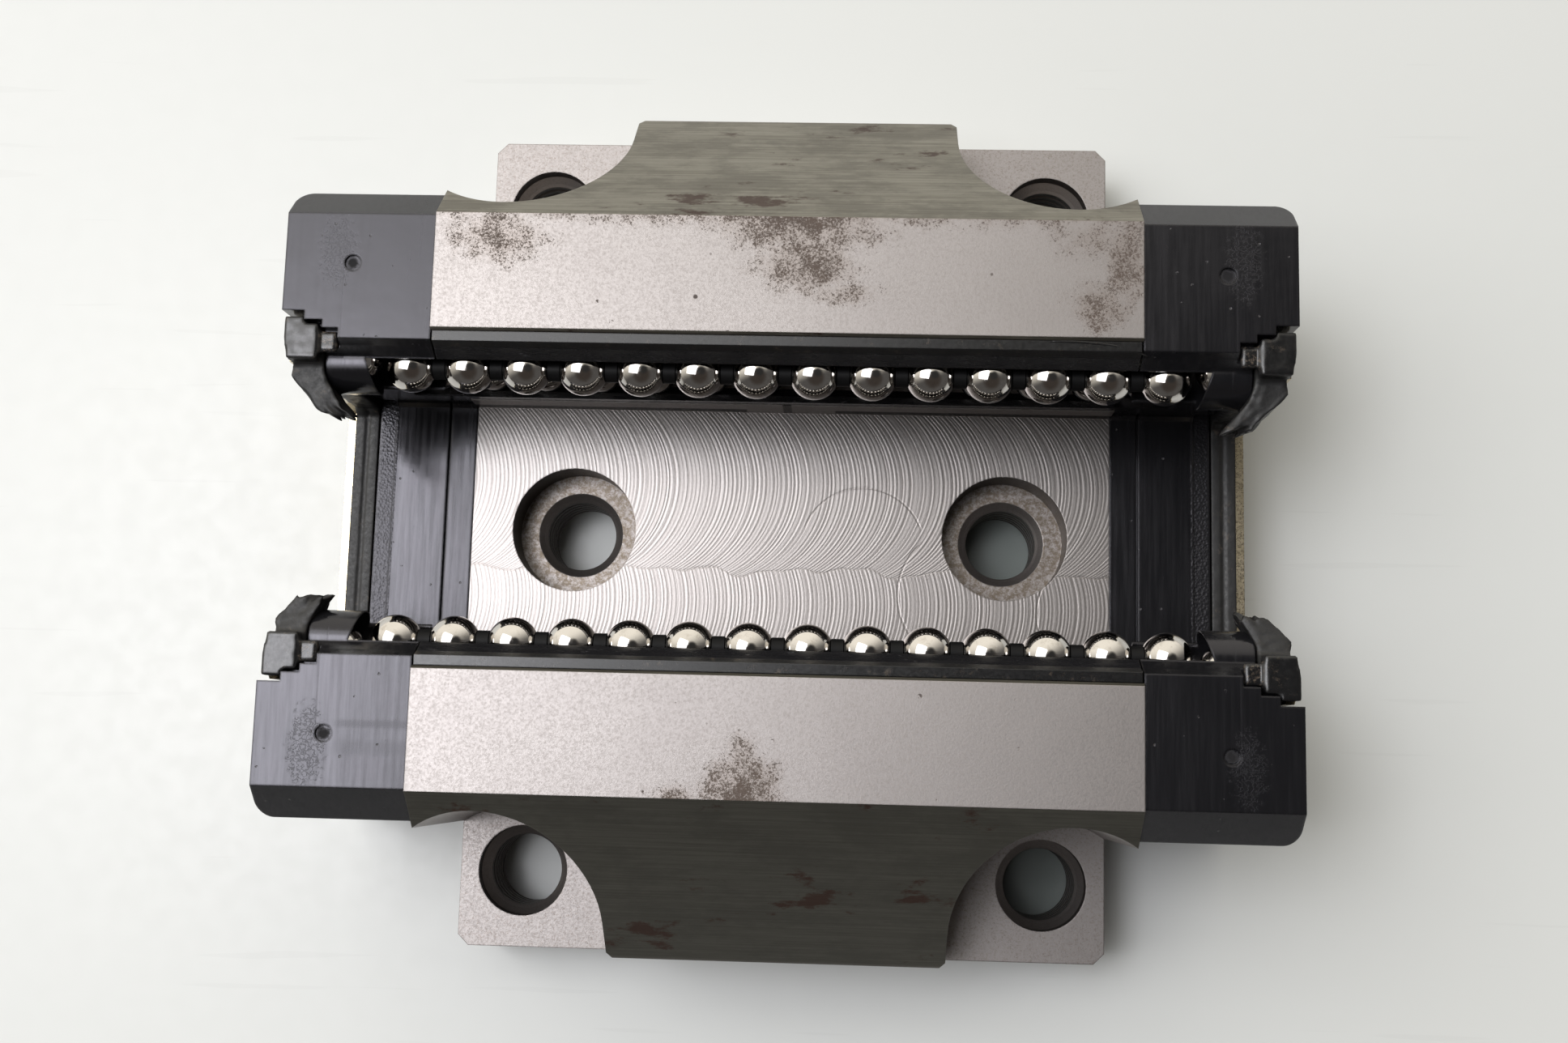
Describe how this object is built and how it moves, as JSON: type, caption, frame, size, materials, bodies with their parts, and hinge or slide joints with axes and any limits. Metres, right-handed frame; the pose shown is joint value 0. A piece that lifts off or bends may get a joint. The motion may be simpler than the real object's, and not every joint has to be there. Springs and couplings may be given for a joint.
{
  "type": "linear guide carriage",
  "caption": "Flanged recirculating-ball carriage for a profile rail, lying on its mounting face, with plastic end caps, end seals and moving ball circuits.",
  "frame": {"origin": "centre of the mounting face", "axes": "+X along the rail, towards the front end cap; +Y across the flange, to the left; +Z from the mounting face towards the open rail channel"},
  "size_m": [0.11, 0.1, 0.0404],
  "materials": {
    "block_steel": "ground and milled, worn satin with light rust",
    "raceway_steel": "hardened and ground",
    "ball_steel": "polished bearing steel",
    "spacer_plastic": "matte moulded",
    "retainer_plastic": "moulded, semi gloss",
    "seal_rubber": "moulded, worn",
    "cap_plastic": "moulded, semi gloss, scuffed",
    "guide_plastic": "moulded",
    "plate_steel": "zinc plated, yellow passivated",
    "screw_black": "black oxide",
    "screw_zinc": "zinc plated",
    "plug_steel": "zinc plated"
  },
  "bodies": {
    "carriage": {"carriage_block": "block_steel", "foot_raceway_left": "raceway_steel", "foot_raceway_right": "raceway_steel", "head_raceway_left": "raceway_steel", "head_raceway_right": "raceway_steel", "side_seal_left": "seal_rubber", "side_seal_right": "seal_rubber", "foot_retainer_left": "retainer_plastic", "foot_retainer_right": "retainer_plastic", "middle_retainer_left": "retainer_plastic", "middle_retainer_right": "retainer_plastic", "head_retainer_left": "retainer_plastic", "head_retainer_right": "retainer_plastic", "end_cap_front": "cap_plastic", "end_cap_rear": "cap_plastic", "return_guides_front": "guide_plastic", "return_guides_rear": "guide_plastic", "end_seal_front": "seal_rubber", "end_seal_rear": "seal_rubber", "scraper_plate_front": "plate_steel", "scraper_plate_rear": "plate_steel", "cap_screws_front": "screw_black", "cap_screws_rear": "screw_black", "plate_screws_front": "screw_zinc", "plate_screws_rear": "screw_zinc", "grease_plug_front": "plug_steel", "grease_plug_rear": "plug_steel", "side_plugs_front": "plug_steel", "side_plugs_rear": "plug_steel"},
    "foot_row_left": {"foot_row_balls_left": "ball_steel", "foot_row_spacers_left": "spacer_plastic"},
    "foot_return_left": {"foot_return_balls_left": "ball_steel", "foot_return_spacers_left": "spacer_plastic"},
    "foot_turn_front_left": {"foot_turn_balls_front_left": "ball_steel"},
    "foot_turn_rear_left": {"foot_turn_balls_rear_left": "ball_steel"},
    "head_row_left": {"head_row_balls_left": "ball_steel", "head_row_spacers_left": "spacer_plastic"},
    "head_return_left": {"head_return_balls_left": "ball_steel", "head_return_spacers_left": "spacer_plastic"},
    "head_turn_front_left": {"head_turn_balls_front_left": "ball_steel"},
    "head_turn_rear_left": {"head_turn_balls_rear_left": "ball_steel"},
    "foot_row_right": {"foot_row_balls_right": "ball_steel", "foot_row_spacers_right": "spacer_plastic"},
    "foot_return_right": {"foot_return_balls_right": "ball_steel", "foot_return_spacers_right": "spacer_plastic"},
    "foot_turn_front_right": {"foot_turn_balls_front_right": "ball_steel"},
    "foot_turn_rear_right": {"foot_turn_balls_rear_right": "ball_steel"},
    "head_row_right": {"head_row_balls_right": "ball_steel", "head_row_spacers_right": "spacer_plastic"},
    "head_return_right": {"head_return_balls_right": "ball_steel", "head_return_spacers_right": "spacer_plastic"},
    "head_turn_front_right": {"head_turn_balls_front_right": "ball_steel"},
    "head_turn_rear_right": {"head_turn_balls_rear_right": "ball_steel"}
  },
  "joints": [
    {"name": "foot_row_left_travel", "type": "slide", "parent": "carriage", "child": "foot_row_left", "axis": [1, 0, 0], "range_m": [-0.00321, 0.00321]},
    {"name": "foot_return_left_travel", "type": "slide", "parent": "carriage", "child": "foot_return_left", "axis": [1, 0, 0], "range_m": [-0.00321, 0.00321]},
    {"name": "foot_turn_front_left_spin", "type": "hinge", "parent": "carriage", "child": "foot_turn_front_left", "pos_m": [0.04494, 0.01929, 0.0344], "axis": [0, 0, 1], "range_deg": [-45, 45]},
    {"name": "foot_turn_rear_left_spin", "type": "hinge", "parent": "carriage", "child": "foot_turn_rear_left", "pos_m": [-0.04494, 0.01929, 0.0344], "axis": [0, 0, 1], "range_deg": [-45, 45]},
    {"name": "head_row_left_travel", "type": "slide", "parent": "carriage", "child": "head_row_left", "axis": [1, 0, 0], "range_m": [-0.00321, 0.00321]},
    {"name": "head_return_left_travel", "type": "slide", "parent": "carriage", "child": "head_return_left", "axis": [1, 0, 0], "range_m": [-0.00321, 0.00321]},
    {"name": "head_turn_front_left_spin", "type": "hinge", "parent": "carriage", "child": "head_turn_front_left", "pos_m": [0.04494, 0.02239, 0.022], "axis": [0, 0, 1], "range_deg": [-45, 45]},
    {"name": "head_turn_rear_left_spin", "type": "hinge", "parent": "carriage", "child": "head_turn_rear_left", "pos_m": [-0.04494, 0.02239, 0.022], "axis": [0, 0, 1], "range_deg": [-45, 45]},
    {"name": "foot_row_right_travel", "type": "slide", "parent": "carriage", "child": "foot_row_right", "axis": [1, 0, 0], "range_m": [-0.00321, 0.00321]},
    {"name": "foot_return_right_travel", "type": "slide", "parent": "carriage", "child": "foot_return_right", "axis": [1, 0, 0], "range_m": [-0.00321, 0.00321]},
    {"name": "foot_turn_front_right_spin", "type": "hinge", "parent": "carriage", "child": "foot_turn_front_right", "pos_m": [0.04494, -0.01929, 0.0344], "axis": [0, 0, 1], "range_deg": [-45, 45]},
    {"name": "foot_turn_rear_right_spin", "type": "hinge", "parent": "carriage", "child": "foot_turn_rear_right", "pos_m": [-0.04494, -0.01929, 0.0344], "axis": [0, 0, 1], "range_deg": [-45, 45]},
    {"name": "head_row_right_travel", "type": "slide", "parent": "carriage", "child": "head_row_right", "axis": [1, 0, 0], "range_m": [-0.00321, 0.00321]},
    {"name": "head_return_right_travel", "type": "slide", "parent": "carriage", "child": "head_return_right", "axis": [1, 0, 0], "range_m": [-0.00321, 0.00321]},
    {"name": "head_turn_front_right_spin", "type": "hinge", "parent": "carriage", "child": "head_turn_front_right", "pos_m": [0.04494, -0.02239, 0.022], "axis": [0, 0, 1], "range_deg": [-45, 45]},
    {"name": "head_turn_rear_right_spin", "type": "hinge", "parent": "carriage", "child": "head_turn_rear_right", "pos_m": [-0.04494, -0.02239, 0.022], "axis": [0, 0, 1], "range_deg": [-45, 45]}
  ],
  "couplings": [
    {"joint": "foot_return_left_travel", "follows": "foot_row_left_travel", "ratio": -1},
    {"joint": "foot_turn_front_left_spin", "follows": "foot_row_left_travel", "rad_per_m": 244.67},
    {"joint": "foot_turn_rear_left_spin", "follows": "foot_row_left_travel", "rad_per_m": 244.67},
    {"joint": "head_return_left_travel", "follows": "head_row_left_travel", "ratio": -1},
    {"joint": "head_turn_front_left_spin", "follows": "head_row_left_travel", "rad_per_m": 244.67},
    {"joint": "head_turn_rear_left_spin", "follows": "head_row_left_travel", "rad_per_m": 244.67},
    {"joint": "foot_return_right_travel", "follows": "foot_row_right_travel", "ratio": -1},
    {"joint": "foot_turn_front_right_spin", "follows": "foot_row_right_travel", "rad_per_m": -244.67},
    {"joint": "foot_turn_rear_right_spin", "follows": "foot_row_right_travel", "rad_per_m": -244.67},
    {"joint": "head_return_right_travel", "follows": "head_row_right_travel", "ratio": -1},
    {"joint": "head_turn_front_right_spin", "follows": "head_row_right_travel", "rad_per_m": -244.67},
    {"joint": "head_turn_rear_right_spin", "follows": "head_row_right_travel", "rad_per_m": -244.67}
  ]
}
